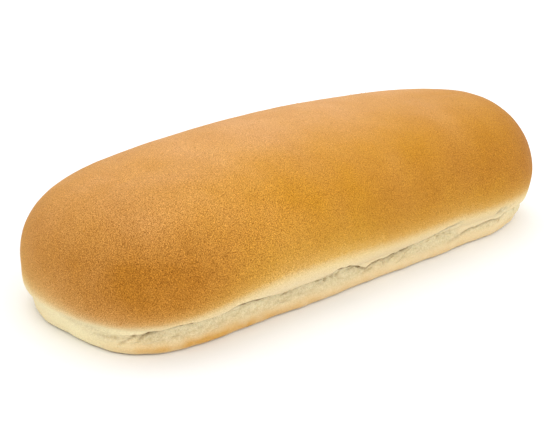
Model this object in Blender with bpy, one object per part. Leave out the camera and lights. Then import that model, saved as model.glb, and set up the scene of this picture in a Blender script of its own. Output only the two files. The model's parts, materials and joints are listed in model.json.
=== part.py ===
"""Hot dog bun: one soft white roll, baked apart on a flat tray, as a single solid.

The bun is a loft of closed rings. They run from the crown down over the belly, in
under the lip of the torn crease, out over the base and in again to the flat sole.
Each ring is the plan outline drawn in towards a spine along the middle of the bun,
so the cross-section keeps its dome along the sides and turns round both ends.

Metres, +Z up, +X along the bun, origin on the sole under the middle of the bun.
"""

import math
from types import SimpleNamespace

import bmesh
import bpy
import numpy as np

# Driving dimensions
LENGTH = 0.155
WIDTH = 0.0602  # across the middle, before the bend
HEIGHT = 0.0353
BELLY_HEIGHT = 0.0128  # where the bun is widest

# Plan outline
NEAR_CAP = 0.0263  # length of the rounded -X end
FAR_CAP = 0.0339  # length of the rounded +X end
CAP_SQUARENESS = 2.48  # 2 is an elliptical end, more fills its corners out
SIDE_BOW = 0.123  # share of the half width by which the sides close in at the ends
FAR_TAPER = 0.031  # share by which the +X end is narrower, and the -X end wider
BEND = 0.0044  # how far both ends curl towards -Y
SPINE_SHARE = 0.725  # spine length as a share of the bun's length
# Slow unevenness of the outline: waves round the bun, cosine size, sine size
OUTLINE_SWELLS = (
    (2, -0.00016, 0.0),
    (4, 0.00021, -0.00011),
)

# Crown
CROWN_FULLNESS = 2.51  # 2 is a plain elliptical arch, more is fuller at the shoulders
RIDGE_SAG = 0.0032  # how much lower the ridge is at the ends of the spine
RIDGE_TILT = 0.0006  # how much the far end is higher for it
RIDGE_ANGLES = (3, 9, 16, 24, 32, 40, 48, 56, 64, 72, 79, 85, 90)  # degrees from the ridge

# Flank, from the belly down to the lip of the crease
BELLY_TURN = math.radians(75)  # how far the belly curls under before the lip
LIP_INSET = 0.0042
LIP_TURNS = (0.2, 0.4, 0.6, 0.78, 0.92, 1.0)  # rings of the belly, as shares of its turn

# Rings below the lip: inset from the belly, share of the tear's depth on top of it,
# height as a share of the lip's height
TEAR_DEPTH = 0.0016
UNDER_LIP = (
    (0.0042, 1.00, 0.94),
    (0.0041, 0.40, 0.76),
    (0.0035, 0.00, 0.55),
    (0.0033, 0.00, 0.36),
)
TOE_INSET = 0.0036
TOE_HEIGHT = 0.0010
SOLE_INSET = 0.0052

# The crease round the bun, from the tip of the -X end along the -Y side:
# distance round the outline, height of the lip, share of the full tear depth
CREASE_PATH = (
    (0.000, 0.0050, 0.2),
    (0.010, 0.0044, 0.1),
    (0.017, 0.0044, 0.3),
    (0.027, 0.0062, 0.8),
    (0.034, 0.0074, 1.0),
    (0.044, 0.0064, 1.0),
    (0.050, 0.0082, 1.0),
    (0.059, 0.0074, 1.0),
    (0.067, 0.0057, 1.0),
    (0.078, 0.0058, 1.0),
    (0.083, 0.0080, 1.0),
    (0.094, 0.0050, 1.0),
    (0.110, 0.0054, 1.0),
    (0.119, 0.0080, 1.0),
    (0.127, 0.0079, 0.6),
    (0.134, 0.0050, 0.6),
    (0.143, 0.0044, 0.9),
    (0.151, 0.0041, 0.9),
    (0.160, 0.0056, 0.8),
    (0.178, 0.0062, 0.5),
    (0.198, 0.0056, 0.5),
    (0.216, 0.0070, 0.9),
    (0.238, 0.0058, 1.0),
    (0.259, 0.0074, 0.9),
    (0.280, 0.0056, 1.0),
    (0.303, 0.0068, 0.8),
    (0.328, 0.0057, 0.9),
    (0.350, 0.0062, 0.5),
    (0.365, 0.0056, 0.2),
)
# Where the flank stands out further: distance round the outline, lip, base and sole
FLANK_FILL = (
    (0.012, 0.0004, 0.0000),
    (0.026, 0.0000, 0.0000),
    (0.138, 0.0000, 0.0000),
    (0.158, 0.0008, 0.0006),
    (0.182, 0.0008, 0.0006),
    (0.204, 0.0000, 0.0000),
    (0.340, 0.0000, 0.0000),
    (0.357, 0.0012, 0.0004),
    (0.373, 0.0012, 0.0004),
)

# Mesh
STATIONS = 180  # points round each ring
OUTLINE_STEPS = 1500  # fine points along each end and each side

CRUST_COLOUR = (0.62, 0.29, 0.07, 1.0)
CRUST_ROUGHNESS = 0.55


def outline_points():
    """A fine closed outline before bending, from the -X tip along the -Y side."""
    half_length, half_width = LENGTH / 2, WIDTH / 2
    turn = np.linspace(0.0, math.pi / 2, OUTLINE_STEPS)
    reach = np.cos(turn) ** (2.0 / CAP_SQUARENESS)
    across = np.sin(turn) ** (2.0 / CAP_SQUARENESS)
    near_start, far_start = NEAR_CAP - half_length, half_length - FAR_CAP
    side = np.linspace(near_start, far_start, OUTLINE_STEPS)[1:-1]
    x = np.concatenate([near_start - NEAR_CAP * reach, side, far_start + FAR_CAP * reach[::-1]])
    y = np.concatenate([across, np.ones(len(side)), across[::-1]]) * half_width
    y *= 1.0 - SIDE_BOW * (x / half_length) ** 2
    y *= 1.0 - FAR_TAPER * x / half_length
    return np.concatenate([x, x[-2::-1]]), np.concatenate([-y, y[-2::-1]])


def plan_stations(count):
    """The outline at equal steps, each with its spine point, ridge height and flank."""
    x, y = outline_points()
    travelled = np.concatenate([[0.0], np.cumsum(np.hypot(np.diff(x), np.diff(y)))])
    perimeter = travelled[-1]
    along = np.linspace(0.0, perimeter, count, endpoint=False)
    edge = np.stack([np.interp(along, travelled, x), np.interp(along, travelled, y)], 1)

    spine = np.stack([edge[:, 0] * SPINE_SHARE, np.zeros(count)], 1)
    outward = edge - spine
    outward /= np.linalg.norm(outward, axis=1)[:, None]
    phase = 2.0 * math.pi * along / perimeter
    for waves, cosine, sine in OUTLINE_SWELLS:
        swell = cosine * np.cos(waves * phase) + sine * np.sin(waves * phase)
        edge = edge + outward * swell[:, None]

    reach = edge[:, 0] / (LENGTH / 2)
    where, lip, depth = np.array(CREASE_PATH).T
    fill_where, lip_fill, base_fill = np.array(FLANK_FILL).T
    return SimpleNamespace(
        edge=edge,
        spine=spine,
        outward=outward,
        ridge=HEIGHT - RIDGE_SAG * reach**2 + RIDGE_TILT * reach**3,
        lip=np.interp(along, where, lip, period=perimeter),
        tear=np.interp(along, where, depth, period=perimeter),
        lip_fill=np.interp(along, fill_where, lip_fill, period=perimeter),
        base_fill=np.interp(along, fill_where, base_fill, period=perimeter),
    )


def crown_rings(plan):
    """Rings of the dome, from beside the ridge out to the belly."""
    for angle in np.radians(RIDGE_ANGLES):
        share = math.sin(angle) ** (2.0 / CROWN_FULLNESS)
        flat = plan.spine + (plan.edge - plan.spine) * share
        height = BELLY_HEIGHT + (plan.ridge - BELLY_HEIGHT) * math.cos(angle)
        yield flat, height


def flank_profile(plan):
    """(inset, height) of each ring below the belly, one value for each station."""
    for share in LIP_TURNS:
        turn = share * BELLY_TURN
        inset = (LIP_INSET - plan.lip_fill) * (1 - math.cos(turn)) / (1 - math.cos(BELLY_TURN))
        drop = (BELLY_HEIGHT - plan.lip) * math.sin(turn) / math.sin(BELLY_TURN)
        yield inset, BELLY_HEIGHT - drop
    for inset, tear_share, height_share in UNDER_LIP:
        fill = plan.base_fill + (plan.lip_fill - plan.base_fill) * height_share
        behind_lip = TEAR_DEPTH * tear_share * plan.tear
        yield inset - fill + behind_lip, height_share * plan.lip
    yield TOE_INSET - plan.base_fill, TOE_HEIGHT
    yield SOLE_INSET - plan.base_fill, 0.0


def bun_rings():
    """All rings from the ridge to the sole, each an array of points, bent and centred."""
    plan = plan_stations(STATIONS)
    flats = list(crown_rings(plan))
    for inset, height in flank_profile(plan):
        inward = np.broadcast_to(inset, STATIONS)[:, None]
        flats.append((plan.edge - plan.outward * inward, height))
    rings = [
        np.column_stack([flat, np.broadcast_to(height, STATIONS)]) for flat, height in flats
    ]
    points = np.stack(rings)
    points[..., 1] -= BEND * (points[..., 0] / (LENGTH / 2)) ** 2
    low, high = points.min(axis=(0, 1)), points.max(axis=(0, 1))
    points[..., :2] -= (low[:2] + high[:2]) / 2
    return points


def close_across(bm, ring, upward):
    """Closes the long slit inside a ring with faces between its two sides."""
    last = len(ring) // 2
    spans = [(ring[0], ring[1], ring[-1]), (ring[last - 1], ring[last], ring[last + 1])]
    for i in range(1, last - 1):
        spans.append((ring[i], ring[i + 1], ring[-i - 1], ring[-i]))
    for span in spans:
        bm.faces.new(span if upward else span[::-1])


def build_bun():
    points = bun_rings()
    bm = bmesh.new()
    rings = [[bm.verts.new(point) for point in ring] for ring in points]
    for upper, lower in zip(rings, rings[1:]):
        for i in range(STATIONS):
            j = (i + 1) % STATIONS
            bm.faces.new((upper[i], lower[i], lower[j], upper[j]))
    close_across(bm, rings[0], upward=True)
    close_across(bm, rings[-1], upward=False)

    mesh = bpy.data.meshes.new("bun")
    bm.to_mesh(mesh)
    bm.free()
    mesh.shade_smooth()
    bun = bpy.data.objects.new("bun", mesh)
    bpy.context.scene.collection.objects.link(bun)
    return bun


def crust_material():
    material = bpy.data.materials.new("crust")
    material.use_nodes = True
    shader = material.node_tree.nodes["Principled BSDF"]
    shader.inputs["Base Color"].default_value = CRUST_COLOUR
    shader.inputs["Roughness"].default_value = CRUST_ROUGHNESS
    shader.inputs["Metallic"].default_value = 0.0
    return material


def main():
    for old in list(bpy.data.objects):
        bpy.data.objects.remove(old)
    bun = build_bun()
    bun.data.materials.append(crust_material())


main()
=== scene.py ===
"""Hot dog bun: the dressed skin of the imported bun, its torn crease, its crust and its light.

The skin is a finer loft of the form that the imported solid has. It adds what the oven did:
a crust that thins out to pale dough under the shoulder, a crease torn in overlapping
steps, loose dough strands in it, a golden toe and small blisters on the crust.

Metres, +Z up, +X along the bun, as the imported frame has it.
"""

import json
import math
from types import SimpleNamespace

import bmesh
import bpy
import numpy as np
from mathutils import Matrix, Vector

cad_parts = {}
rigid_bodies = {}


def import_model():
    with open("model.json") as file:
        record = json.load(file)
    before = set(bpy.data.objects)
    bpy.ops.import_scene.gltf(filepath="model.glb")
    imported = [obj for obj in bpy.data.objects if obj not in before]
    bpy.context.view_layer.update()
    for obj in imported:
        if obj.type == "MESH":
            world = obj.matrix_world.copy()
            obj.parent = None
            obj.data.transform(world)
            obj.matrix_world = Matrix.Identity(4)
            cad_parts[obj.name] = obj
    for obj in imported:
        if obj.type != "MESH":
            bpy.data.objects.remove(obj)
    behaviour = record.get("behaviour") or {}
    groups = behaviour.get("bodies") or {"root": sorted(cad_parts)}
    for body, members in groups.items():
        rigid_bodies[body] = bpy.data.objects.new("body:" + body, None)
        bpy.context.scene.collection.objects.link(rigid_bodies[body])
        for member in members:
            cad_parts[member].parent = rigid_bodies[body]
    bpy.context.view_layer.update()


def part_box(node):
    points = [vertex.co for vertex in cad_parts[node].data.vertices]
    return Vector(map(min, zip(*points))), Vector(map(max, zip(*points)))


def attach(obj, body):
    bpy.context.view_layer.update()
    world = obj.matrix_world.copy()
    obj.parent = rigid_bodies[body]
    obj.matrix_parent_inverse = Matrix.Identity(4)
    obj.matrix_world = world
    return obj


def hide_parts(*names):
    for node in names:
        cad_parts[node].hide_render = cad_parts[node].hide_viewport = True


# Form of the bun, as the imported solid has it
LENGTH = 0.155
WIDTH = 0.0602
HEIGHT = 0.0353
BELLY_HEIGHT = 0.0128
NEAR_CAP = 0.0263
FAR_CAP = 0.0339
CAP_SQUARENESS = 2.48
SIDE_BOW = 0.123
FAR_TAPER = 0.031
BEND = 0.0044
SPINE_SHARE = 0.725
OUTLINE_SWELLS = ((2, -0.00016, 0.0), (4, 0.00021, -0.00011))
CROWN_FULLNESS = 2.51
RIDGE_SAG = 0.0032
RIDGE_TILT = 0.0006

# Flank: the belly curls in to a waist, the base goes down from it to the toe and the sole
BELLY_TURN = math.radians(75)
WAIST_HEIGHT = 0.0058
WAIST_INSET = 0.0042
BASE_SIDE = ((0.0046, 0.0041), (0.0034, 0.0036), (0.0022, 0.0033), (0.0013, 0.0034))  # height, inset
TOE_HEIGHT = 0.0013
TOE_INSET = 0.0034
SOLE_INSET = 0.0052

# Uneven edges: waves round the bun, size, phase
TOE_WAVES = ((7, 0.00010, 1.1), (13, 0.00012, 0.4), (29, 0.00009, 2.0), (61, 0.00005, 0.7))
LIP_WAVES = ((47, 0.00010, 0.3), (83, 0.00008, 1.9), (131, 0.00006, 4.0))
TOE_WAVES_TOP = 0.0035  # height at which the waves of the toe begin to show, going down
TOE_WAVES_FADE = 0.002  # how much lower they are full

FILL_SHARPNESS = 2.5  # how quickly the fill fades out from the waist up to the belly
WAIST_ROUNDING = 0.0006  # half the height over which the waist is rounded

# Where the flank stands out further: distance round the outline, lip, base and toe
FLANK_FILL = (
    (0.006, 0.0018, 0.0005, -0.0002),
    (0.013, 0.0007, 0.0001, -0.0002),
    (0.024, 0.0000, 0.0000, 0.0000),
    (0.036, 0.0000, -0.0001, -0.0004),
    (0.050, 0.0000, 0.0000, -0.0002),
    (0.070, 0.0000, 0.0000, 0.0002),
    (0.100, 0.0000, 0.0000, 0.0001),
    (0.114, 0.0000, 0.0002, 0.0006),
    (0.126, 0.0000, 0.0002, 0.0010),
    (0.136, 0.0004, 0.0000, -0.0002),
    (0.1455, 0.0010, 0.0004, 0.0006),
    (0.152, 0.0016, 0.0009, 0.0003),
    (0.160, 0.0023, 0.0015, 0.0002),
    (0.182, 0.0023, 0.0013, 0.0000),
    (0.204, 0.0000, 0.0000, 0.0000),
    (0.338, 0.0000, 0.0000, 0.0000),
    (0.354, 0.0032, 0.0012, 0.0004),
    (0.370, 0.0030, 0.0012, 0.0003),
)

# The crease round the bun, from the tip of the -X end along the -Y side:
# distance round the outline, height of the lip, share of the full tear depth
CREASE_PATH = (
    (0.000, 0.0050, 0.00),
    (0.010, 0.0042, 0.00),
    (0.016, 0.0043, 0.06),
    (0.019, 0.0046, 0.14),
    (0.0225, 0.0048, 0.20),
    (0.0245, 0.0050, 0.40),
    (0.0258, 0.0054, 0.75),
    (0.0270, 0.0059, 0.95),
    (0.0292, 0.0065, 1.00),
    (0.0326, 0.0077, 1.00),
    (0.036, 0.0077, 1.00),
    (0.040, 0.0073, 1.00),
    (0.0450, 0.0070, 1.00),
    (0.0485, 0.0084, 1.00),
    (0.053, 0.0087, 1.00),
    (0.0595, 0.0076, 0.90),
    (0.0666, 0.0059, 0.75),
    (0.0708, 0.0071, 0.90),
    (0.0780, 0.0062, 0.85),
    (0.0810, 0.0085, 1.00),
    (0.0860, 0.0084, 1.00),
    (0.0890, 0.0071, 0.95),
    (0.0935, 0.0049, 0.60),
    (0.0950, 0.0041, 0.60),
    (0.0973, 0.0049, 0.72),
    (0.1060, 0.0051, 0.76),
    (0.1125, 0.0056, 0.85),
    (0.1166, 0.0076, 0.95),
    (0.1216, 0.0087, 0.85),
    (0.1260, 0.0092, 0.60),
    (0.1285, 0.0094, 0.25),
    (0.1300, 0.0092, 0.00),
    (0.1325, 0.0040, 0.00),
    (0.1360, 0.0042, 0.20),
    (0.1400, 0.0045, 0.36),
    (0.1440, 0.0050, 0.44),
    (0.1500, 0.0046, 0.42),
    (0.1540, 0.0062, 0.44),
    (0.1600, 0.0068, 0.55),
    (0.1680, 0.0064, 0.50),
    (0.178, 0.0062, 0.45),
    (0.198, 0.0056, 0.45),
    (0.208, 0.0062, 0.80),
    (0.216, 0.0072, 0.95),
    (0.227, 0.0060, 1.00),
    (0.238, 0.0056, 0.90),
    (0.244, 0.0072, 1.00),
    (0.259, 0.0076, 0.95),
    (0.270, 0.0060, 0.90),
    (0.280, 0.0055, 0.85),
    (0.287, 0.0070, 0.95),
    (0.303, 0.0070, 0.85),
    (0.316, 0.0055, 0.80),
    (0.328, 0.0057, 0.80),
    (0.350, 0.0060, 0.40),
    (0.365, 0.0056, 0.10),
)
PATH_SMOOTHING = 0.0006  # how far the corners of the crease path are eased along it
TEAR_DEPTH = 0.0013
CLEFT_SHARE = 0.62  # share of the tear's depth that is a narrow cleft right below the lip
CLEFT_WIDTH = 0.0008
CLEFT_SQUARENESS = 1.5  # how suddenly the cleft ends
TEAR_OPENING = 0.00018  # how quickly the tear cuts in below the lip
TEAR_REACH = 0.0034  # how far below the lip the torn surface comes out again
UNDERCUT_RISE = 0.00022
UNDERCUT_SHARE = 0.5  # share of the tear's depth that the ring under the lip goes in
SHUT_SEAM_DROP = 0.00008  # how far below the lip that ring lies where nothing is torn
BASE_START_DROP = 0.00016  # how far below the lip the rings of the base begin
LIP_ROLL = 0.00016  # how proud the lip's rounded edge stands
LIP_ROLL_WIDTH = 0.0006
# How far below the lip the painted shade of its inside is full, where the lip is at the waist and
# higher up
CLEFT_SHADE_LOW = 0.00050
CLEFT_SHADE_HIGH = 0.00092
CLEFT_SHADE_RISE = 0.0024  # height above the waist at which the upper value is reached
CLEFT_SHADE_FADE = 0.00026
CLEFT_SHADE_LEAD = 0.00005  # how far above the lip it starts
# Torn dough is painted from right below the lip down to the top of the toe
TORN_START = 0.0005  # how far below the lip it takes to be full
TORN_START_LEAD = 0.4  # share of that by which it starts early
TORN_FOOT = 0.0019  # height at which it has faded out, and how far above that it begins to
TORN_LEAST = 0.2  # how torn the dough is painted where the crease has no depth

# Fine folds of torn dough beside the crease: depth, half width, then points as
# distance round the outline and height
FOLDS = (
    (0.00040, 0.00026, ((0.0182, 0.0024), (0.0205, 0.0034), (0.0230, 0.0048))),
    (0.00042, 0.00028, ((0.0226, 0.0033), (0.0244, 0.0041), (0.0264, 0.0055))),
    (0.00014, 0.00024, ((0.0120, 0.0037), (0.0160, 0.0038), (0.0205, 0.0040))),
    (0.00020, 0.00024, ((0.0350, 0.0036), (0.0366, 0.0052), (0.0384, 0.0070))),
    (0.00014, 0.00026, ((0.0430, 0.0034), (0.0465, 0.0044), (0.0500, 0.0062))),
    (0.00016, 0.00026, ((0.0560, 0.0050), (0.0590, 0.0060), (0.0615, 0.0070))),
    (0.00026, 0.00026, ((0.0650, 0.0048), (0.0700, 0.0055), (0.0760, 0.0066), (0.0800, 0.0074))),
    (0.00020, 0.00026, ((0.0770, 0.0042), (0.0810, 0.0052), (0.0850, 0.0060), (0.0890, 0.0063))),
    (0.00018, 0.00026, ((0.0920, 0.0030), (0.0960, 0.0035), (0.1000, 0.0043))),
    (0.00020, 0.00028, ((0.1070, 0.0038), (0.1110, 0.0049), (0.1150, 0.0060), (0.1190, 0.0072))),
    (0.00032, 0.00030, ((0.1265, 0.0028), (0.1318, 0.0033), (0.1344, 0.0036), (0.1385, 0.0043))),
    (0.00026, 0.00028, ((0.1460, 0.0066), (0.1495, 0.0077), (0.1540, 0.0084))),
    (0.00022, 0.00028, ((0.1500, 0.0044), (0.1530, 0.0058), (0.1580, 0.0066))),
    (0.00020, 0.00028, ((0.1740, 0.0036), (0.1780, 0.0044), (0.1830, 0.0058))),
    (0.00028, 0.00030, ((0.2060, 0.0036), (0.2110, 0.0054), (0.2160, 0.0070))),
    (0.00020, 0.00028, ((0.2190, 0.0034), (0.2230, 0.0046), (0.2280, 0.0058))),
    (0.00030, 0.00030, ((0.2320, 0.0032), (0.2390, 0.0048), (0.2450, 0.0070))),
    (0.00020, 0.00028, ((0.2500, 0.0038), (0.2550, 0.0058), (0.2600, 0.0074))),
    (0.00028, 0.00030, ((0.2760, 0.0032), (0.2830, 0.0050), (0.2880, 0.0068))),
    (0.00020, 0.00028, ((0.2960, 0.0036), (0.3010, 0.0055), (0.3050, 0.0070))),
    (0.00028, 0.00030, ((0.3120, 0.0030), (0.3190, 0.0044), (0.3260, 0.0055))),
    (0.00020, 0.00028, ((0.3380, 0.0032), (0.3430, 0.0046), (0.3480, 0.0058))),
)
FOLD_FADE = 0.0014  # how far a fold takes to come in and go out at its ends
FOLD_END_DELAY = 0.6  # share of that by which it goes out late
FOLD_DARKENING = 0.0011  # depth of a fold that is painted fully torn and in full painted shade
# Single pits in the torn dough: distance round the outline, height, half width, depth
PITS = (
    (0.0790, 0.0058, 0.00045, 0.00070),
    (0.0803, 0.0050, 0.00050, 0.00075),
    (0.0816, 0.0066, 0.00045, 0.00080),
    (0.0826, 0.0054, 0.00050, 0.00080),
    (0.0838, 0.0064, 0.00045, 0.00070),
    (0.0846, 0.0051, 0.00045, 0.00070),
    (0.1020, 0.0036, 0.00045, 0.00035),
    (0.1242, 0.0053, 0.00050, 0.00045),
    (0.1262, 0.0060, 0.00045, 0.00040),
    (0.1291, 0.0051, 0.00050, 0.00050),
    (0.1458, 0.0074, 0.00060, 0.00085),
    (0.1464, 0.0082, 0.00050, 0.00070),
    (0.1481, 0.0080, 0.00055, 0.00055),
    (0.2140, 0.0052, 0.00050, 0.00045),
    (0.2510, 0.0060, 0.00050, 0.00045),
    (0.2530, 0.0050, 0.00045, 0.00040),
    (0.2950, 0.0052, 0.00050, 0.00045),
    (0.3010, 0.0044, 0.00045, 0.00040),
)
# Where the dough is open and pitted: distance round, height, reach along and up, strength
PITTED = (
    (0.0040, 0.0056, 0.0060, 0.0012, 0.70),
    (0.0120, 0.0050, 0.0050, 0.0012, 0.65),
    (0.0160, 0.0034, 0.0055, 0.0010, 0.60),
    (0.0400, 0.0052, 0.0090, 0.0014, 0.35),
    (0.0600, 0.0056, 0.0080, 0.0012, 0.45),
    (0.0700, 0.0062, 0.0040, 0.0010, 0.60),
    (0.0825, 0.0056, 0.0040, 0.0016, 1.00),
    (0.1020, 0.0044, 0.0060, 0.0010, 0.55),
    (0.1140, 0.0056, 0.0060, 0.0012, 0.50),
    (0.1280, 0.0048, 0.0050, 0.0013, 0.80),
    (0.1410, 0.0042, 0.0050, 0.0010, 0.60),
    (0.1480, 0.0068, 0.0024, 0.0013, 0.90),
    (0.2200, 0.0050, 0.0120, 0.0014, 0.60),
    (0.2560, 0.0056, 0.0100, 0.0014, 0.60),
    (0.2920, 0.0050, 0.0120, 0.0014, 0.60),
)

# Where the crust turns pale: distance round the outline, how far up the surface from the
# belly the middle of the change lies, half its width
BAKE_EDGE = (
    (0.001, -0.0045, 0.0044),
    (0.010, -0.0047, 0.0042),
    (0.020, -0.0048, 0.0042),
    (0.028, -0.0038, 0.0040),
    (0.036, -0.0029, 0.0040),
    (0.044, -0.0022, 0.0040),
    (0.054, -0.0010, 0.0042),
    (0.066, 0.0002, 0.0048),
    (0.081, 0.0000, 0.0052),
    (0.095, -0.0006, 0.0054),
    (0.108, -0.0012, 0.0052),
    (0.127, -0.0010, 0.0052),
    (0.137, -0.0018, 0.0050),
    (0.150, -0.0018, 0.0050),
    (0.158, -0.0022, 0.0048),
    (0.166, -0.0030, 0.0044),
    (0.190, -0.0030, 0.0044),
    (0.215, -0.0018, 0.0046),
    (0.260, -0.0004, 0.0050),
    (0.310, -0.0012, 0.0048),
    (0.345, -0.0028, 0.0046),
    (0.365, -0.0036, 0.0048),
)
# How baked the crust is at steps of that half width above the middle of the change.
# It browns fast at first and then slowly.
BAKE_STEPS = (
    (-1.0, 0.00),
    (-0.5, 0.14),
    (0.0, 0.48),
    (0.5, 0.72),
    (1.0, 0.83),
    (2.0, 0.94),
    (3.0, 1.00),
)
# How golden the toe is: distance round the outline, strength
TOE_BAKE = (
    (0.006, 0.05),
    (0.014, 0.25),
    (0.021, 0.62),
    (0.028, 0.85),
    (0.038, 1.08),
    (0.048, 1.22),
    (0.056, 1.00),
    (0.064, 0.78),
    (0.072, 0.64),
    (0.085, 0.48),
    (0.100, 0.38),
    (0.135, 0.38),
    (0.158, 0.35),
    (0.200, 0.65),
    (0.245, 0.90),
    (0.290, 0.70),
    (0.330, 0.60),
    (0.355, 0.20),
)
# How that gold rises and fades by height. It is kept lower at the very bottom as painted light, so that
# the edge stays pale against the floor's contact shade.
TOE_BAKE_RISE = (
    (0.0000, 0.30),
    (0.0005, 0.48),
    (0.0011, 0.98),
    (0.0016, 0.90),
    (0.0024, 0.58),
    (0.0033, 0.30),
    (0.0044, 0.10),
    (0.0054, 0.00),
)
# Darker patches of the crust, partly deeper bake and partly painted shade on the ends and lower sides
# that turn from the light: place on it, reach along, across and up, strength
DARK_BAKE_AND_SHADE_PATCHES = (
    ((-0.061, -0.025, 0.016), (0.016, 0.016, 0.008), 1.00),
    ((0.013, -0.030, 0.016), (0.014, 0.012, 0.006), 0.32),
    ((0.000, -0.018, 0.028), (0.030, 0.012, 0.008), 0.20),
    ((-0.010, -0.027, 0.019), (0.018, 0.012, 0.007), 0.36),
    ((-0.020, 0.020, 0.032), (0.026, 0.010, 0.008), 0.13),
    ((0.056, -0.020, 0.018), (0.028, 0.022, 0.0095), 0.95),
    ((0.078, 0.004, 0.018), (0.010, 0.022, 0.011), 1.00),
    ((-0.074, 0.000, 0.018), (0.014, 0.022, 0.010), 0.38),
    ((-0.058, -0.004, 0.028), (0.014, 0.012, 0.007), 0.12),
    ((0.030, 0.030, 0.018), (0.045, 0.014, 0.008), 0.45),
    ((-0.045, 0.028, 0.019), (0.030, 0.014, 0.009), 0.40),
)
# Painted sheen: where the crust is peach rather than golden, standing for the whitish sheen of the
# overhead light on the top and the -X end: place on it, reach, strength
SHEEN_PATCHES = (
    ((0.034, 0.012, 0.036), (0.056, 0.020, 0.008), 0.90),
    ((-0.045, 0.006, 0.034), (0.040, 0.018, 0.009), 0.38),
    ((-0.069, -0.016, 0.014), (0.016, 0.021, 0.013), 0.85),
)
# Where the dough is palest: place on it, reach, strength
PALE_PATCHES = (
    ((-0.075, -0.010, 0.004), (0.013, 0.015, 0.006), 1.00),
    ((0.070, -0.012, 0.005), (0.012, 0.020, 0.005), 0.40),
)
# Where the crust is more strongly pebbled: place on it, reach, strength
PEBBLED_PATCHES = (
    ((-0.052, -0.024, 0.017), (0.034, 0.026, 0.018), 0.65),
    ((0.052, -0.024, 0.016), (0.030, 0.018, 0.010), 0.45),
)
PEBBLED_ELSEWHERE = 0.33

GRAIN_SLANT = 1.6  # how far along the torn grain moves for each step up
GRAIN_STRETCH = 3.5  # how much longer than high it is
CRUMB_ELSEWHERE = 0.4  # relief of the crumb where torn dough is not pitted

# Kinds of relief of the skin: name, size and depth of the noise, shift of its seed
SWELL = ("Swell", 0.024, 0.0007, 0.0)
DIMPLE = ("Dimple", 0.0050, 0.00012, 3.0)
CRUMB = ("Crumb", 0.0009, 0.00150, 5.0)
GRAIN = ("Grain", 0.0012, 0.00045, 9.0)

# Loose strands
STRAND_RINGS = range(6, 24, 3)  # rings of the base that carry them, counted from the lip
STRAND_STEPS = 6
STRAND_SIDES = 5
STRAND_END_DROP = 0.6  # how far the ends hang, as a share of the bow
STRAND_TAPER = 0.6  # below 1 the thread stays thick for longer towards its ends
STRAND_END_GIRTH = 0.15
STRAND_SCALES = ((0.5, 1.3), (0.6, 1.3), (0.6, 1.2))  # least and most, along, across and up

# Blisters
BLISTER_BAKE = 0.93  # how baked the crust has to be to carry them
BLISTER_SEGMENTS = 8
BLISTER_RINGS = 5
BLISTER_SCALES = (0.45, 1.1)

# Mesh of the skin
STATIONS = 1000
OUTLINE_STEPS = 1500
FLANK_STEPS = 240
TABLE_SMOOTHING = 0.004
DOME_RINGS = 32
DOME_SPREAD = 1.25  # draws the rings of the dome towards the ridge
LIP_RINGS = 14
BASE_RINGS = 34
BASE_CROWDING = 1.3  # draws the rings of the base up towards the lip
TOE_RINGS = 6
BROWNED_TOE_RINGS = 2  # rings of the toe that are browned with the sole
SOLE_RINGS = 6

# Camera, fitted to the outline of the bun in the photo
CAMERA_AZIMUTH = -44.363
CAMERA_ELEVATION = 21.972
CAMERA_ROLL = 2.806
CAMERA_DISTANCE = 0.34153
AIM_HEIGHT = 0.018
AIM_RIGHT = -0.004974
AIM_UP = -0.00942
FOCAL_PIXELS = 1340.5
IMAGE_WIDTH = 553
SENSOR_WIDTH = 36.0
NEAR_CLIP = 0.01
FAR_CLIP = 20.0

FLOOR_DROP = 0.0001
FLOOR_SIZE = 3.0
FLOOR_SQUARES = 8
FLOOR_CLOUD_SIZE = 0.4
FLOOR_TONES = ((0.92, 0.92, 0.92, 1.0), (0.94, 0.94, 0.94, 1.0))

# Soft lights: name, place, what it is aimed at, width and height, power
SOFT_LIGHTS = (
    ("overhead_softbox", (0.10, 0.35, 0.75), (0.0, 0.0, 0.02), (0.9, 0.7), 1.75),
    ("front_softbox", (-0.05, -0.95, 0.60), (0.0, 0.0, 0.015), (0.9, 0.6), 2.5),
)
SURROUNDING_LIGHT = 1.1


def srgb(red, green, blue):
    """A colour picked on a screen, 0 to 255, as the linear colour that a shader takes."""
    def linear(value):
        value /= 255.0
        return value / 12.92 if value <= 0.04045 else ((value + 0.055) / 1.055) ** 2.4
    return (linear(red), linear(green), linear(blue), 1.0)


CREAM = srgb(224, 206, 166)
PALE_DOUGH = srgb(239, 228, 186)
STRAW = srgb(219, 195, 140)
GOLD = srgb(206, 166, 88)
LIGHT_CRUST = srgb(197, 149, 48)
CRUST = srgb(195, 137, 32)
DARK_CRUST = srgb(166, 108, 31)
SHEEN_CRUST = srgb(208, 155, 99)
TORN_DOUGH = srgb(225, 212, 174)
TORN_SHADE = srgb(203, 188, 148)
# Painted shade of the crease and the folds
CLEFT_SHADE = srgb(130, 108, 78)
TOE_GOLD = srgb(204, 157, 84)
SOLE_BROWN = srgb(198, 150, 88)
SOLE_DARK = srgb(166, 110, 54)
# Colours of the crust from unbaked, 0, to fully baked, 1
BAKE_COLOURS = ((0.0, CREAM), (0.25, STRAW), (0.5, GOLD), (0.82, LIGHT_CRUST), (1.0, CRUST))

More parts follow.
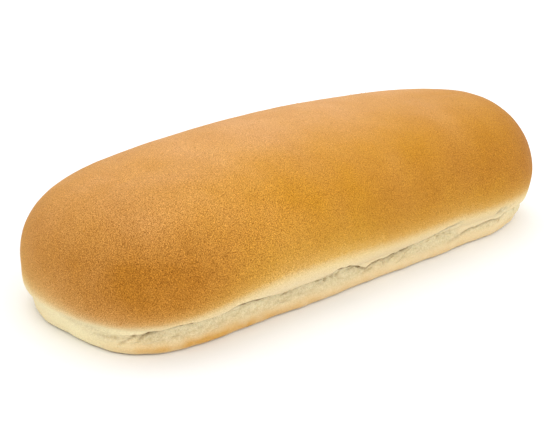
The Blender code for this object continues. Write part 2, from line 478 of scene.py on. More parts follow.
# Kinds of unevenness of the finish: size of the noise, its detail and roughness, the part
# of its range that is used, and what that part is drawn out to
BAKE_FLECKS = (0.0011, 3.0, 0.6, (0.0, 1.0), (-0.10, 0.10))
SHEEN_BLOTCHES = (0.021, 2.0, 0.5, (0.35, 0.65), (-0.15, 0.15))
DARK_CLOUDS = (0.009, 3.0, 0.55, (0.3, 0.7), (-0.08, 0.12))
DARK_SPECKS = (0.0011, 0.0, 0.5, (0.84, 0.90), (0.0, 0.5))
SOLE_CLOUDS = (0.011, 4.0, 0.6, (0.36, 0.66), (0.0, 0.8))
SOLE_PORES = (0.0016, 2.0, 0.5, (0.60, 0.72), (0.0, 0.7))
TORN_WISPS = (0.0009, 3.0, 0.6, (0.35, 0.65), (0.0, 0.6))
TORN_CRUMBS = (0.0005, 2.0, 0.6, (0.38, 0.62), (0.0, 0.6))
BROKEN_SHADE = (0.0016, 2.0, 0.5, (0.35, 0.60), (0.6, 1.0))
TOE_PATCHES = (0.004, 2.0, 0.5, (0.36, 0.64), (0.7, 1.1))
STRAND_WISPS = (0.0012, 3.0, 0.6, (0.35, 0.65), (0.0, 1.0))

# Speckle and bump. The noise of the pores and the crumb: size, detail, roughness
PORE_NOISE = (0.00020, 1.0, 0.5)
PORE_RANGE = (0.28, 0.72)
CRUMB_NOISE = (0.0006, 4.0, 0.65)
SPECKLE_TINT = (0.68, 0.80, 1.05)  # how strongly it changes red, green and blue
DOUGH_SPECKLE = 0.22  # speckle of pale dough, against 1 on the crust
PEBBLE_SIZE = 0.00075
PEBBLE_REACH = 0.7  # distance from a pebble's middle, in cells, at which its bump ends
DOUGH_PEBBLES = 0.35
CRUMB_BUMP = 3.0
BUMP_DEPTH = 0.00007
DOUGH_ROUGHNESS = 0.85
CRUST_ROUGHNESS = 0.58


def smooth_step(value):
    value = np.clip(value, 0.0, 1.0)
    return value * value * (3.0 - 2.0 * value)


def added(name, data):
    """A new object, added to the scene."""
    thing = bpy.data.objects.new(name, data)
    bpy.context.scene.collection.objects.link(thing)
    return thing


# Skin of the bun


def outline_points():
    """A fine closed outline before bending, from the -X tip along the -Y side."""
    half_length, half_width = LENGTH / 2, WIDTH / 2
    turn = np.linspace(0.0, math.pi / 2, OUTLINE_STEPS)
    reach = np.cos(turn) ** (2.0 / CAP_SQUARENESS)
    across = np.sin(turn) ** (2.0 / CAP_SQUARENESS)
    near_start, far_start = NEAR_CAP - half_length, half_length - FAR_CAP
    side = np.linspace(near_start, far_start, OUTLINE_STEPS)[1:-1]
    x = np.concatenate([near_start - NEAR_CAP * reach, side, far_start + FAR_CAP * reach[::-1]])
    y = np.concatenate([across, np.ones(len(side)), across[::-1]]) * half_width
    y *= 1.0 - SIDE_BOW * (x / half_length) ** 2
    y *= 1.0 - FAR_TAPER * x / half_length
    return np.concatenate([x, x[-2::-1]]), np.concatenate([-y, y[-2::-1]])


def averaged(values, half, mode):
    """Values averaged over half a window on both sides, with the ends padded as told."""
    weights = np.hanning(2 * half + 3)[1:-1]
    weights /= weights.sum()
    return np.convolve(np.pad(values, half, mode=mode), weights, mode="valid")


def read_round(table, along, perimeter, column, reach):
    """One column of a table at distances round the closed outline, its corners rounded."""
    rows = np.array(table).T
    values = np.interp(along, rows[0], rows[column], period=perimeter)
    half = max(1, round(reach * len(values) / perimeter))
    return averaged(values, half, "wrap")


def waves_round(waves, phase):
    return sum(size * np.sin(count * phase + shift) for count, size, shift in waves)


def plan_stations():
    """The outline at equal steps, each with its spine point, ridge height and flank."""
    x, y = outline_points()
    travelled = np.concatenate([[0.0], np.cumsum(np.hypot(np.diff(x), np.diff(y)))])
    perimeter = travelled[-1]
    along = np.linspace(0.0, perimeter, STATIONS, endpoint=False)
    edge = np.stack([np.interp(along, travelled, x), np.interp(along, travelled, y)], 1)
    spine = np.stack([edge[:, 0] * SPINE_SHARE, np.zeros(STATIONS)], 1)
    outward = edge - spine
    outward /= np.linalg.norm(outward, axis=1)[:, None]
    phase = 2.0 * math.pi * along / perimeter
    for waves, cosine, sine in OUTLINE_SWELLS:
        swell = cosine * np.cos(waves * phase) + sine * np.sin(waves * phase)
        edge = edge + outward * swell[:, None]
    reach = edge[:, 0] / (LENGTH / 2)
    lip, tear = (read_round(CREASE_PATH, along, perimeter, k, PATH_SMOOTHING) for k in (1, 2))
    fills = [read_round(FLANK_FILL, along, perimeter, k, TABLE_SMOOTHING) for k in (1, 2, 3)]
    return SimpleNamespace(
        along=along,
        perimeter=perimeter,
        edge=edge,
        spine=spine,
        outward=outward,
        ridge=HEIGHT - RIDGE_SAG * reach**2 + RIDGE_TILT * reach**3,
        lip=lip + waves_round(LIP_WAVES, phase) * tear,
        tear=tear,
        fills=fills,
        toe=waves_round(TOE_WAVES, phase),
    )


def flank_columns():
    """By height from toe to belly: the untorn flank's inset, then the reach of each fill."""
    height = np.linspace(TOE_HEIGHT, BELLY_HEIGHT, FLANK_STEPS)
    share = np.clip((BELLY_HEIGHT - height) / (BELLY_HEIGHT - WAIST_HEIGHT), 0.0, 1.0)
    turn = np.arcsin(share * math.sin(BELLY_TURN))
    belly = WAIST_INSET * (1.0 - np.cos(turn)) / (1.0 - math.cos(BELLY_TURN))
    side_heights, side_insets = np.array(((WAIST_HEIGHT, WAIST_INSET),) + BASE_SIDE)[::-1].T
    over_waist = height >= WAIST_HEIGHT
    plain = np.where(over_waist, belly, np.interp(height, side_heights, side_insets))

    knots = (TOE_HEIGHT + WAIST_ROUNDING, BASE_SIDE[1][0], WAIST_HEIGHT)
    lip = np.where(over_waist, share**FILL_SHARPNESS, np.interp(height, knots, (0, 0, 1)))
    base = np.interp(height, knots, (0, 1, 0))
    toe = np.interp(height, knots, (1, 0, 0))
    half = round(WAIST_ROUNDING / (height[1] - height[0]))
    return height, [averaged(column, half, "reflect") for column in (plain, lip, base, toe)]


def plain_inset(plan, height):
    """How far in from the belly the untorn flank lies, once its fills are taken off."""
    heights, (plain, *reaches) = flank_columns()
    inset = np.interp(height, heights, plain)
    for fill, reach in zip(plan.fills, reaches):
        inset = inset - fill * np.interp(height, heights, reach)
    return inset


def tear_inset(plan, below):
    """How far in the torn dough lies at a distance below the lip: a cleft and a hollow."""
    opening = smooth_step(below / TEAR_OPENING)
    cleft = CLEFT_SHARE * np.exp(-((np.maximum(below, 0.0) / CLEFT_WIDTH) ** CLEFT_SQUARENESS))
    hollow = (1.0 - CLEFT_SHARE) * (1.0 - smooth_step(below / TEAR_REACH))
    return TEAR_DEPTH * plan.tear * opening * (cleft + hollow)


def flank_inset(plan, height):
    """The flank's inset with the lip's rolled edge and the tear below it."""
    below = plan.lip - height
    roll = LIP_ROLL * plan.tear * np.exp(-((below / LIP_ROLL_WIDTH) ** 2)) * (below <= 0)
    return plain_inset(plan, height) + tear_inset(plan, below) - roll


def dome_profile(plan):
    """Rings of the dome, from the spine out to the belly."""
    for step in np.linspace(0.0, 1.0, DOME_RINGS):
        angle = math.pi / 2 * step**DOME_SPREAD
        share = math.sin(angle) ** (2.0 / CROWN_FULLNESS)
        flat = plan.spine + (plan.edge - plan.spine) * share
        yield flat, BELLY_HEIGHT + (plan.ridge - BELLY_HEIGHT) * math.cos(angle)


def inside_edge(plan, inset):
    return plan.edge - plan.outward * np.broadcast_to(inset, STATIONS)[:, None]


def flank_rings(plan):
    """Rings from below the belly to the lip, under it, and down the base to the toe."""
    for step in np.linspace(0.0, 1.0, LIP_RINGS + 1)[1:]:
        drop = math.sin(step * BELLY_TURN) / math.sin(BELLY_TURN)
        height = BELLY_HEIGHT - (BELLY_HEIGHT - plan.lip) * drop
        yield inside_edge(plan, flank_inset(plan, height)), height
    lip_inset = flank_inset(plan, plan.lip)
    yield (
        inside_edge(plan, lip_inset + UNDERCUT_SHARE * TEAR_DEPTH * plan.tear),
        plan.lip + UNDERCUT_RISE * plan.tear - SHUT_SEAM_DROP * (1 - plan.tear),
    )
    start = plan.lip - BASE_START_DROP
    for step in np.linspace(0.0, 1.0, BASE_RINGS):
        height = start - (start - TOE_HEIGHT) * step**BASE_CROWDING
        toe_share = smooth_step((TOE_WAVES_TOP - height) / TOE_WAVES_FADE)
        inset = flank_inset(plan, height) + plan.toe * toe_share
        yield inside_edge(plan, inset), height


def sole_rings(plan):
    """Rings round the toe and in over the sole to the spine."""
    for step in np.linspace(0.0, 1.0, TOE_RINGS + 1)[1:]:
        turn = step * math.pi / 2
        inset = SOLE_INSET - (SOLE_INSET - TOE_INSET) * math.cos(turn)
        height = TOE_HEIGHT * (1.0 - math.sin(turn))
        yield inside_edge(plan, inset - plan.fills[2] + plan.toe), np.full(STATIONS, height)
    rim = inside_edge(plan, SOLE_INSET - plan.fills[2] + plan.toe)
    for step in np.linspace(0.0, 1.0, SOLE_RINGS + 1)[1:]:
        yield rim + (plan.spine - rim) * step, np.zeros(STATIONS)


def distance_to_path(along, height, path):
    """Distance in the plane of distance round and height from points to a broken line."""
    nearest = np.full(along.shape, np.inf)
    for (x0, y0), (x1, y1) in zip(path, path[1:]):
        run, rise = x1 - x0, y1 - y0
        share = ((along - x0) * run + (height - y0) * rise) / (run * run + rise * rise)
        share = np.clip(share, 0.0, 1.0)
        gap = np.hypot(along - x0 - share * run, height - y0 - share * rise)
        nearest = np.minimum(nearest, gap)
    return nearest


def fold_depth(along, height):
    """How deep the fine folds cut at each point, fading out at both of their ends."""
    depth = np.zeros(along.shape)
    for deep, half_width, path in FOLDS:
        gap = distance_to_path(along, height, path)
        coming = smooth_step((along - path[0][0]) / FOLD_FADE)
        going = smooth_step((path[-1][0] - along) / FOLD_FADE + FOLD_END_DELAY)
        depth += deep * coming * going * np.exp(-((gap / half_width) ** 2))
    for where, rise, half_width, deep in PITS:
        gap = np.hypot(along - where, height - rise)
        depth += deep * np.exp(-((gap / half_width) ** 2))
    return depth


def skin_points(plan, cad_box):
    """All rings from the spine on top to the spine on the sole, bent and put in place."""
    rings = [*dome_profile(plan), *flank_rings(plan), *sole_rings(plan)]
    flat = np.stack([ring[0] for ring in rings])
    height = np.stack([ring[1] for ring in rings])
    along = np.broadcast_to(plan.along, height.shape)
    fold = fold_depth(along, height)
    fold[:DOME_RINGS] = 0.0
    fold[-(SOLE_RINGS + TOE_RINGS) :] = 0.0
    flat = flat - plan.outward[None] * fold[..., None]
    points = np.concatenate([flat, height[..., None]], axis=2)
    points[..., 1] -= BEND * (points[..., 0] / (LENGTH / 2)) ** 2
    low, high = points.min(axis=(0, 1)), points.max(axis=(0, 1))
    centre = (cad_box[0] + cad_box[1]) / 2
    points[..., 0] += centre.x - (low[0] + high[0]) / 2
    points[..., 1] += centre.y - (low[1] + high[1]) / 2
    return points, fold


def climb_from_belly(points):
    """Distance along the surface from the belly ring, up positive and down negative."""
    steps = np.linalg.norm(np.diff(points, axis=0), axis=2)
    travelled = np.concatenate([np.zeros((1, points.shape[1])), np.cumsum(steps, axis=0)])
    return travelled[DOME_RINGS - 1][None] - travelled


def patched(points, patches):
    """Strength of a list of soft patches at each point, from 0 to 1."""
    total = np.zeros(points.shape[:2])
    for place, reach, strength in patches:
        offset = (points - np.array(place)) / np.array(reach)
        total += strength * np.exp(-0.5 * (offset**2).sum(axis=2))
    return np.clip(total, 0.0, 1.0)


def pitted_dough(along, height):
    """Where the torn dough is open and pitted, from 0 to 1."""
    total = np.zeros(height.shape)
    for where, rise, reach, reach_up, strength in PITTED:
        offset = ((along - where) / reach) ** 2 + ((height - rise) / reach_up) ** 2
        total += strength * np.exp(-offset)
    return np.clip(total, 0.0, 1.0)


def torn_dough(plan, height, fold, pitted):
    """Where the dough is torn: under the lip, in the folds and where it is pitted."""
    torn = smooth_step((plan.lip - height) / TORN_START + TORN_START_LEAD)
    torn = torn * smooth_step((height - TORN_FOOT) / TORN_FOOT)
    return np.clip(torn * (TORN_LEAST + plan.tear) + fold / FOLD_DARKENING + pitted, 0.0, 1.0)


def crease_shade(plan, height, fold):
    """Where the inside of the crease and the folds is painted in shade, as little light reaches it."""
    below = plan.lip - height
    lip_rise = smooth_step((plan.lip - WAIST_HEIGHT) / CLEFT_SHADE_RISE)
    reach = CLEFT_SHADE_LOW + (CLEFT_SHADE_HIGH - CLEFT_SHADE_LOW) * lip_rise
    shade = np.exp(-(np.maximum(below - reach, 0.0) / CLEFT_SHADE_FADE) ** 2)
    shade = plan.tear * shade * (below > -CLEFT_SHADE_LEAD)
    return np.clip(shade + fold / FOLD_DARKENING, 0.0, 1.0)


def paint_values(plan, points, fold):
    """How strong each finish is at each point of the skin, from 0 where it is not."""
    height = points[..., 2]
    pitted = pitted_dough(plan.along[None], height)
    edge, half_width, gold = (
        read_round(table, plan.along, plan.perimeter, column, TABLE_SMOOTHING)
        for table, column in ((BAKE_EDGE, 1), (BAKE_EDGE, 2), (TOE_BAKE, 1))
    )
    steps = (climb_from_belly(points) - edge) / half_width
    paint = {
        "bake": np.interp(steps, *np.array(BAKE_STEPS).T),
        # darker patches, partly deeper bake and partly painted shade
        "dark": patched(points, DARK_BAKE_AND_SHADE_PATCHES),
        # painted sheen of the overhead light, as peach crust
        "painted_sheen": patched(points, SHEEN_PATCHES),
        "pale": patched(points, PALE_PATCHES),
        "torn": torn_dough(plan, height, fold, pitted),
        # painted shade inside the crease and the folds
        "cleft": crease_shade(plan, height, fold),
        "pitted": pitted,
        "toe": gold * np.interp(height, *np.array(TOE_BAKE_RISE).T),
        "sole": np.zeros(height.shape),
        "pebbled": np.clip(PEBBLED_ELSEWHERE + patched(points, PEBBLED_PATCHES), 0.0, 1.0),
    }
    for name in ("torn", "cleft", "pitted", "toe"):
        paint[name][:DOME_RINGS] = 0.0
    paint["sole"][-SOLE_RINGS - BROWNED_TOE_RINGS :] = 1.0
    return paint


def strand_places(plan, points):
    """A place for stretched noise that runs round the bun and slants up to the right."""
    slanted = plan.along[None] - GRAIN_SLANT * points[..., 2]
    turn = 2.0 * math.pi * slanted / plan.perimeter
    radius = plan.perimeter / (2.0 * math.pi) / GRAIN_STRETCH
    return np.stack([radius * np.cos(turn), radius * np.sin(turn), points[..., 2]], axis=2)


def ring_vertex(ring, station, rings):
    """Index of a loft vertex. The first and the last ring are a line, met from both sides."""
    line = STATIONS // 2 + 1
    if ring in (0, rings - 1):
        station = min(station, STATIONS - station)
    if ring == 0:
        return station
    return line + (ring - 1) * STATIONS + station


def loft_faces(rings):
    """The faces that join each ring of the loft to the next."""
    faces = []
    for ring in range(rings - 1):
        for station in range(STATIONS):
            after = (station + 1) % STATIONS
            corners = ((ring, station), (ring + 1, station), (ring + 1, after), (ring, after))
            faces.append(tuple(ring_vertex(*corner, rings) for corner in corners))
    return faces


def carry(mesh, name, values):
    """Gives each vertex of a mesh its own number or vector."""
    kind, key = ("FLOAT", "value") if values.ndim == 1 else ("FLOAT_VECTOR", "vector")
    layer = mesh.attributes.new(name, kind, "POINT")
    layer.data.foreach_set(key, values.astype(np.float32).ravel())


def build_skin(cad_box):
    """The skin as one closed mesh that carries its finishes, and the plan it follows."""
    plan = plan_stations()
    points, fold = skin_points(plan, cad_box)
    line = STATIONS // 2 + 1

    def listed(grid):
        return np.concatenate([grid[0, :line], *grid[1:-1], grid[-1, :line]])

    mesh = bpy.data.meshes.new("bun_skin")
    mesh.from_pydata(listed(points).tolist(), [], loft_faces(len(points)))
    finishes = paint_values(plan, points, fold)
    finishes["strand_place"] = strand_places(plan, points)
    for name, grid in finishes.items():
        carry(mesh, name, listed(grid))
    mesh.shade_smooth()
    return added("bun_skin", mesh), plan


def strand_guide(skin, plan):
    """Loose points on the torn dough of the finished skin, each knowing its way out and along."""
    place = np.empty(len(skin.data.vertices) * 3)
    skin.data.vertices.foreach_get("co", place)
    place = place.reshape(-1, 3)
    lip = STATIONS // 2 + 1 + (DOME_RINGS + LIP_RINGS) * STATIONS
    rows = [lip + ring * STATIONS + np.arange(STATIONS) for ring in STRAND_RINGS]
    out = np.column_stack([plan.outward, np.zeros(STATIONS)])
    run = np.column_stack([-plan.outward[:, 1], plan.outward[:, 0], np.zeros(STATIONS)])

    guide = bpy.data.meshes.new("torn_strands")
    guide.from_pydata(place[np.concatenate(rows)].tolist(), [], [])
    for name, values in (("out", out), ("run", run), ("tear", plan.tear)):
        carry(guide, name, np.concatenate([values] * len(rows)))
    return added("torn_strands", guide)


# Node trees


class NodeMaker:
    """Adds nodes to a tree and links them."""

    def __init__(self, tree):
        self.tree = tree

    def fill(self, node, sources):
        """Links or sets the inputs of a node."""
        for socket, source in sources.items():
            if isinstance(source, bpy.types.NodeSocket):
                self.tree.links.new(source, node.inputs[socket])
            else:
                node.inputs[socket].default_value = source

    def node(self, kind, links=(), **settings):
        made = self.tree.nodes.new(kind)
        for key, value in settings.items():
            setattr(made, key, value)
        self.fill(made, dict(links))
        return made

    def math(self, operation, first, second, clamp=False):
        links = {0: first, 1: second}
        return self.node("ShaderNodeMath", links, operation=operation, use_clamp=clamp).outputs[0]

    def plus(self, first, second, clamp=False):
        return self.math("ADD", first, second, clamp)

    def times(self, first, second, clamp=False):
        return self.math("MULTIPLY", first, second, clamp)

    def vectors(self, operation, first, second):
        links = {0: first, "Scale" if operation == "SCALE" else 1: second}
        return self.node("ShaderNodeVectorMath", links, operation=operation).outputs[0]


class TreeMaker(NodeMaker):
    """A geometry tree, with its inputs named and numbered."""

    def __init__(self, name):
        super().__init__(bpy.data.node_groups.new(name, "GeometryNodeTree"))
        for way in ("OUTPUT", "INPUT"):
            self.tree.interface.new_socket("Geometry", in_out=way, socket_type="NodeSocketGeometry")
        self.entry = self.node("NodeGroupInput")
        self.values = {}

    def size(self, name, value, kind="NodeSocketFloat"):
        """A named input of the tree. Returns the socket that carries it."""
        item = self.tree.interface.new_socket(name, in_out="INPUT", socket_type=kind)
        self.values[item.identifier] = value
        return self.entry.outputs[name]

    def vector(self, x, y, z):
        return self.node("ShaderNodeCombineXYZ", {0: x, 1: y, 2: z}).outputs[0]

    def attribute(self, name, kind="FLOAT"):
        made = self.node("GeometryNodeInputNamedAttribute", {"Name": name}, data_type=kind)
        return made.outputs["Attribute"]

    def random(self, low, high, seed, shift):
        """A random number from low to high for each point."""
        links = {2: low, 3: high, "Seed": self.plus(seed, shift)}
        return self.node("FunctionNodeRandomValue", links, data_type="FLOAT").outputs[1]

    def finish(self, geometry, material):
        """Ends the tree with real geometry of one material."""
        real = self.node("GeometryNodeRealizeInstances", {"Geometry": geometry}).outputs[0]
        links = {"Geometry": real, "Material": material}
        self.node("NodeGroupOutput", {0: self.node("GeometryNodeSetMaterial", links).outputs[0]})

    def strew(self, material, **links):
        """Ends the tree with smooth instances on points."""
        placed = self.node("GeometryNodeInstanceOnPoints", links).outputs[0]
        smooth = self.node("GeometryNodeSetShadeSmooth", {"Geometry": placed}).outputs[0]
        self.finish(smooth, material)


def baked_by(maker, carrier):
    """Runs a tree on an object and keeps the result as the object's plain mesh."""
    modifier = carrier.modifiers.new(maker.tree.name, "NODES")
    modifier.node_group = maker.tree
    for identifier, value in maker.values.items():
        modifier[identifier] = value
    graph = bpy.context.evaluated_depsgraph_get()
    mesh = bpy.data.meshes.new_from_object(carrier.evaluated_get(graph), depsgraph=graph)
    carrier.modifiers.remove(modifier)
    old, carrier.data = carrier.data, mesh
    bpy.data.meshes.remove(old)
    carrier.data.name = carrier.name
    return carrier


def noise_offset(maker, kind, place, mask, seed):
    """A signed noise of one kind of relief, kept to where its mask is set."""
    name, size, depth, shift = kind
    size, depth = maker.size(f"{name} size", size), maker.size(f"{name} depth", depth)
    scale = maker.math("DIVIDE", 1.0, size)
    links = {"Vector": place, "W": maker.plus(seed, shift), "Scale": scale, "Detail": 2.0}
    noise = maker.node("ShaderNodeTexNoise", links, noise_dimensions="4D").outputs[0]
    return maker.times(maker.times(maker.math("SUBTRACT", noise, 0.5), depth), mask)


def relief_tree(material):
    """Lifts and dents the skin: slow swells, dimples, and the crumb and grain of torn dough."""
    maker = TreeMaker("crust_relief")
    seed = maker.size("Seed", 7.0)
    place = maker.node("GeometryNodeInputPosition").outputs[0]
    slanted = maker.attribute("strand_place", "FLOAT_VECTOR")
    bake, torn, sole, pitted = map(maker.attribute, ("bake", "torn", "sole", "pitted"))
    open_crumb = maker.times(maker.plus(pitted, CRUMB_ELSEWHERE), torn)
    swell = noise_offset(maker, SWELL, place, bake, seed)
    dimple = noise_offset(maker, DIMPLE, place, maker.math("SUBTRACT", 1.0, sole), seed)
    crumb = noise_offset(maker, CRUMB, place, open_crumb, seed)
    grain = noise_offset(maker, GRAIN, slanted, torn, seed)
    total = maker.plus(maker.plus(swell, dimple), maker.plus(crumb, grain))

    normal = maker.node("GeometryNodeInputNormal").outputs[0]
    push = maker.vectors("SCALE", normal, total)
    links = {"Geometry": maker.entry.outputs["Geometry"], "Offset": push}
    maker.finish(maker.node("GeometryNodeSetPosition", links).outputs[0], material)
    return maker


def strand_shape(maker, length, thickness, bow):
    """One strand: a thin bowed thread with pointed ends, a few dozen faces in all."""
    half = maker.times(length, 0.5)
    low = maker.times(bow, -STRAND_END_DROP)
    start = maker.vector(maker.times(half, -1.0), 0.0, low)
    middle = maker.vector(0.0, 0.0, bow)
    end = maker.vector(half, 0.0, low)
    thread = maker.node(
        "GeometryNodeCurveQuadraticBezier",
        {"Resolution": STRAND_STEPS, "Start": start, "Middle": middle, "End": end},
    ).outputs[0]
    factor = maker.node("GeometryNodeSplineParameter").outputs["Factor"]
    rounded = maker.times(factor, maker.math("SUBTRACT", 1.0, factor))
    taper = maker.math("POWER", maker.times(rounded, 4.0), STRAND_TAPER)
    girth = maker.times(maker.plus(taper, STRAND_END_GIRTH), thickness)
    ring = maker.node(
        "GeometryNodeCurvePrimitiveCircle", {"Resolution": STRAND_SIDES, "Radius": 0.5}
    ).outputs[0]
    links = {"Curve": thread, "Profile Curve": ring, "Scale": girth, "Fill Caps": True}
    return maker.node("GeometryNodeCurveToMesh", links).outputs[0]


def strand_tree(material):
    """Loose dough strands that slant up over the torn crease."""
    maker = TreeMaker("torn_strands")
    length = maker.size("Strand length", 0.0042)
    thickness = maker.size("Strand thickness", 0.00018)
    bow = maker.size("Strand bow", 0.00012)
    share = maker.size("Share of places", 0.022)
    low_slope = maker.size("Least slope", math.radians(3))
    high_slope = maker.size("Most slope", math.radians(18))
    seed = maker.size("Seed", 37, "NodeSocketInt")

    chance = maker.times(share, maker.attribute("tear"))
    chosen = maker.math("LESS_THAN", maker.random(0.0, 1.0, seed, 1), chance)
    upright = maker.node(
        "FunctionNodeAxesToRotation",
        {0: maker.attribute("out", "FLOAT_VECTOR"), 1: maker.attribute("run", "FLOAT_VECTOR")},
        primary_axis="Z",
        secondary_axis="X",
    ).outputs[0]
    slope = maker.vector(0.0, 0.0, maker.random(low_slope, high_slope, seed, 2))
    turned = maker.node(
        "FunctionNodeRotateRotation", {0: upright, 1: slope}, rotation_space="LOCAL"
    ).outputs[0]
    stretch = maker.vector(*(
        maker.random(least, most, seed, 3 + axis) for axis, (least, most) in enumerate(STRAND_SCALES)
    ))
    maker.strew(
        material,
        Points=maker.entry.outputs["Geometry"],
        Selection=chosen,
        Instance=strand_shape(maker, length, thickness, bow),
        Rotation=turned,
        Scale=stretch,
    )
    return maker


def blister_tree(material):
    """Small blisters strewn over the baked crust, each a flat cap of a few dozen faces."""
    maker = TreeMaker("oven_blisters")
    width = maker.size("Blister width", 0.00052)
    flatness = maker.size("Blister flatness", 0.42)
    density = maker.size("Blisters per square metre", 9000.0)
    seed = maker.size("Seed", 12, "NodeSocketInt")

    baked = maker.math("GREATER_THAN", maker.attribute("bake"), BLISTER_BAKE)
    spread = maker.node(
        "GeometryNodeDistributePointsOnFaces",
        {"Mesh": maker.entry.outputs["Geometry"], "Selection": baked, "Density": density, "Seed": seed},
        distribute_method="RANDOM",
    )
    radius = maker.times(width, 0.5)
    ball = maker.node(
        "GeometryNodeMeshUVSphere",
        {"Segments": BLISTER_SEGMENTS, "Rings": BLISTER_RINGS, "Radius": radius},
    ).outputs["Mesh"]
    scale = maker.random(*BLISTER_SCALES, seed, 3)
    maker.strew(
        material,
        Points=spread.outputs["Points"],
        Instance=ball,
        Rotation=spread.outputs["Rotation"],
        Scale=maker.vector(scale, scale, maker.times(scale, flatness)),
    )
    return maker


# Materials


class Shading(NodeMaker):
    """A material and the nodes that feed its shader."""

    def __init__(self, name):
        self.material = bpy.data.materials.new(name)
        self.material.use_nodes = True
        super().__init__(self.material.node_tree)
        self.shader = self.tree.nodes["Principled BSDF"]
        self.place = self.node("ShaderNodeTexCoord").outputs["Object"]

    def attribute(self, name, output="Fac"):
        return self.node("ShaderNodeAttribute", attribute_name=name).outputs[output]

    def noise(self, size, detail=2.0, roughness=0.5, place=None):
        links = {
            "Vector": place or self.place,
            "Scale": 1.0 / size,
            "Detail": detail,
            "Roughness": roughness,
        }
        return self.node("ShaderNodeTexNoise", links).outputs[0]

    def cells(self, size):
        links = {"Vector": self.place, "Scale": 1.0 / size}
        made = self.node("ShaderNodeTexVoronoi", links, feature="SMOOTH_F1")
        return made.outputs["Distance"]

    def spread(self, value, low, high, to_low=0.0, to_high=1.0):
        links = {0: value, 1: low, 2: high, 3: to_low, 4: to_high}
        return self.node("ShaderNodeMapRange", links).outputs[0]

    def uneven(self, kind, place=None):
        """Noise of one of the kinds named above."""
        size, detail, roughness, used, drawn_out = kind
        return self.spread(self.noise(size, detail, roughness, place), *used, *drawn_out)

    def mix(self, share, first, second):
        """The first colour where the share is 0, the second where it is 1."""
        links = {0: share, 6: first, 7: second}
        return self.node("ShaderNodeMix", links, data_type="RGBA").outputs[2]

    def ramp(self, value, stops):
        made = self.node("ShaderNodeValToRGB", {0: value})
        elements = made.color_ramp.elements
        while len(elements) < len(stops):
            elements.new(0.5)
        for element, (position, colour) in zip(elements, stops):
            element.position = position
            element.color = colour
        return made.outputs[0]

    def speckled(self, colour, strength, tint):
        """A colour made lighter or darker by a signed strength, more so where the tint is high."""
        factor = self.vectors("ADD", self.vectors("SCALE", tint, strength), (1, 1, 1))
        return self.vectors("MULTIPLY", colour, factor)


def baked_colour(paint, bake):
    """Cream, straw, gold and brown by how far each place is baked, with slow unevenness, a painted
    peach sheen, and darker patches that are partly deeper bake and partly painted shade.
    """
    unbaked = paint.math("SUBTRACT", 1.0, bake)
    half_baked = paint.times(paint.times(bake, unbaked), 4.0)
    flecks = paint.times(paint.uneven(BAKE_FLECKS), half_baked)
    baked = paint.ramp(paint.plus(bake, flecks), BAKE_COLOURS)
    pale = paint.times(paint.attribute("pale"), unbaked)
    baked = paint.mix(pale, baked, PALE_DOUGH)
    # Painted sheen: peach where the overhead light glances off the crust
    painted_sheen = paint.plus(paint.attribute("painted_sheen"), paint.uneven(SHEEN_BLOTCHES), clamp=True)
    baked = paint.mix(paint.times(painted_sheen, bake), baked, SHEEN_CRUST)
    # Darker patches, partly deeper bake and partly painted shade
    dark = paint.plus(paint.attribute("dark"), paint.uneven(DARK_CLOUDS))
    dark = paint.plus(paint.math("MAXIMUM", dark, 0.0), paint.uneven(DARK_SPECKS))
    return paint.mix(paint.times(dark, bake, clamp=True), baked, DARK_CRUST)


def sole_colour(paint):
    """The flat baked underside, browned in soft patches with small dark pores."""
    dark = paint.plus(paint.uneven(SOLE_CLOUDS), paint.uneven(SOLE_PORES), clamp=True)
    return paint.mix(dark, SOLE_BROWN, SOLE_DARK)


def crust_colour(paint, pore):
    """The baked crust, the torn dough under it with painted shade in the crease and folds, the golden
    toe and the sole.
    """
    bake, torn, sole = (paint.attribute(name) for name in ("bake", "torn", "sole"))
    slanted = paint.attribute("strand_place", "Vector")
    baked = baked_colour(paint, bake)
    light = paint.plus(paint.uneven(TORN_WISPS, slanted), paint.uneven(TORN_CRUMBS), clamp=True)
    flank = paint.mix(torn, baked, paint.mix(light, TORN_SHADE, TORN_DOUGH))
    # Painted shade in the crease and the folds, broken up by noise
    shade = paint.times(paint.attribute("cleft"), paint.uneven(BROKEN_SHADE))
    flank = paint.mix(shade, flank, CLEFT_SHADE)
    golden = paint.times(paint.attribute("toe"), paint.uneven(TOE_PATCHES), clamp=True)
    flank = paint.mix(golden, flank, TOE_GOLD)
    whole = paint.mix(sole, flank, sole_colour(paint))
    speckle = paint.spread(pore, *PORE_RANGE, -1.0, 1.0)
    quiet = paint.spread(paint.math("MAXIMUM", bake, sole), 0.0, 1.0, DOUGH_SPECKLE, 1.0)
    quiet = paint.times(quiet, paint.attribute("pebbled"))
    return paint.speckled(whole, paint.times(speckle, quiet), SPECKLE_TINT)


def crust_bump(paint, pore):
    """Fine pebbles of the crust and the open crumb of torn dough."""
    bake, torn = paint.attribute("bake"), paint.attribute("torn")
    pebbles = paint.spread(paint.cells(PEBBLE_SIZE), 0.0, PEBBLE_REACH, 1.0, 0.0)
    grain = paint.plus(pebbles, pore)
    quiet = paint.spread(bake, 0.0, 1.0, DOUGH_PEBBLES, 1.0)
    quiet = paint.times(quiet, paint.attribute("pebbled"))
    crust = paint.times(grain, quiet)
    crumb = paint.times(paint.noise(*CRUMB_NOISE), paint.times(torn, CRUMB_BUMP))
    links = {"Height": paint.plus(crust, crumb), "Distance": BUMP_DEPTH, "Strength": 0.8}
    return paint.node("ShaderNodeBump", links).outputs[0]


def crust_material():
    paint = Shading("baked_crust")
    pore = paint.noise(*PORE_NOISE)
    bake = paint.attribute("bake")
    paint.fill(paint.shader, {
        "Base Color": crust_colour(paint, pore),
        "Normal": crust_bump(paint, pore),
        "Roughness": paint.spread(bake, 0.0, 1.0, DOUGH_ROUGHNESS, CRUST_ROUGHNESS),
        "Specular IOR Level": 0.08,
        "Subsurface Weight": 0.10,
        "Subsurface Radius": (1.0, 0.55, 0.30),
        "Subsurface Scale": 0.0012,
    })
    return paint.material


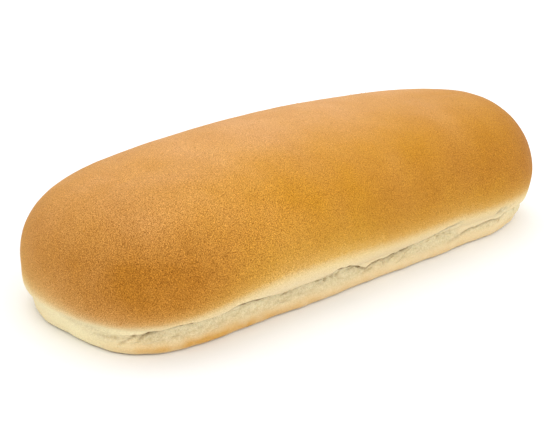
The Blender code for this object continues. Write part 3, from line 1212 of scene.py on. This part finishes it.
def strand_material():
    paint = Shading("loose_dough")
    bump = {"Height": paint.noise(0.0004, 2.0), "Distance": 0.00004, "Strength": 0.6}
    paint.fill(paint.shader, {
        "Base Color": paint.mix(paint.uneven(STRAND_WISPS), TORN_SHADE, CREAM),
        "Normal": paint.node("ShaderNodeBump", bump).outputs[0],
        "Roughness": DOUGH_ROUGHNESS,
        "Specular IOR Level": 0.2,
    })
    return paint.material


def floor_material():
    paint = Shading("pale_floor")
    paint.fill(paint.shader, {
        "Base Color": paint.mix(paint.noise(FLOOR_CLOUD_SIZE, 2.0), *FLOOR_TONES),
        "Roughness": 0.85,
        "Specular IOR Level": 0.1,
    })
    return paint.material


# Floor, light and camera


def build_floor():
    bm = bmesh.new()
    bmesh.ops.create_grid(
        bm, x_segments=FLOOR_SQUARES, y_segments=FLOOR_SQUARES, size=FLOOR_SIZE / 2
    )
    bmesh.ops.translate(bm, verts=bm.verts, vec=(0.0, 0.0, -FLOOR_DROP))
    mesh = bpy.data.meshes.new("floor")
    bm.to_mesh(mesh)
    bm.free()
    mesh.materials.append(floor_material())
    floor = added("floor", mesh)


def area_light(name, place, target, size, power):
    data = bpy.data.lights.new(name, "AREA")
    data.shape = "RECTANGLE"
    data.size, data.size_y = size
    data.energy = power
    light = added(name, data)
    light.location = place
    aim = Vector(target) - Vector(place)
    light.rotation_euler = aim.to_track_quat("-Z", "Y").to_euler()


def build_light():
    world = bpy.data.worlds.new("studio")
    world.use_nodes = True
    background = world.node_tree.nodes["Background"]
    background.inputs["Color"].default_value = (1.0, 1.0, 1.0, 1.0)
    background.inputs["Strength"].default_value = SURROUNDING_LIGHT
    bpy.context.scene.world = world
    for light in SOFT_LIGHTS:
        area_light(*light)


def build_camera():
    azimuth, elevation = math.radians(CAMERA_AZIMUTH), math.radians(CAMERA_ELEVATION)
    roll = math.radians(CAMERA_ROLL)
    back = Vector((
        math.sin(azimuth) * math.cos(elevation),
        -math.cos(azimuth) * math.cos(elevation),
        math.sin(elevation),
    ))
    level_right = (-back).cross(Vector((0.0, 0.0, 1.0))).normalized()
    level_up = level_right.cross(-back)
    right = level_right * math.cos(roll) + level_up * math.sin(roll)
    up = level_up * math.cos(roll) - level_right * math.sin(roll)
    aim = Vector((0.0, 0.0, AIM_HEIGHT)) + right * AIM_RIGHT + up * AIM_UP
    data = bpy.data.cameras.new("camera")
    data.sensor_width = SENSOR_WIDTH
    data.lens = FOCAL_PIXELS / IMAGE_WIDTH * SENSOR_WIDTH
    data.clip_start = NEAR_CLIP
    data.clip_end = FAR_CLIP
    camera = added("camera", data)
    turn = Matrix((right, up, back)).transposed().to_4x4()
    camera.matrix_world = Matrix.Translation(aim + back * CAMERA_DISTANCE) @ turn
    bpy.context.scene.camera = camera


def dress(piece):
    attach(piece, "root")


def main():
    for old in list(bpy.data.objects):
        bpy.data.objects.remove(old)
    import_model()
    bpy.context.scene.view_settings.view_transform = "Standard"

    build_camera()
    build_light()
    build_floor()
    crust = crust_material()
    skin, plan = build_skin(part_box("bun"))
    skin = baked_by(relief_tree(crust), skin)
    strands = baked_by(strand_tree(strand_material()), strand_guide(skin, plan))
    blisters = baked_by(blister_tree(crust), added("oven_blisters", skin.data.copy()))
    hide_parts("bun")
    for piece in (skin, strands, blisters):
        dress(piece)


main()
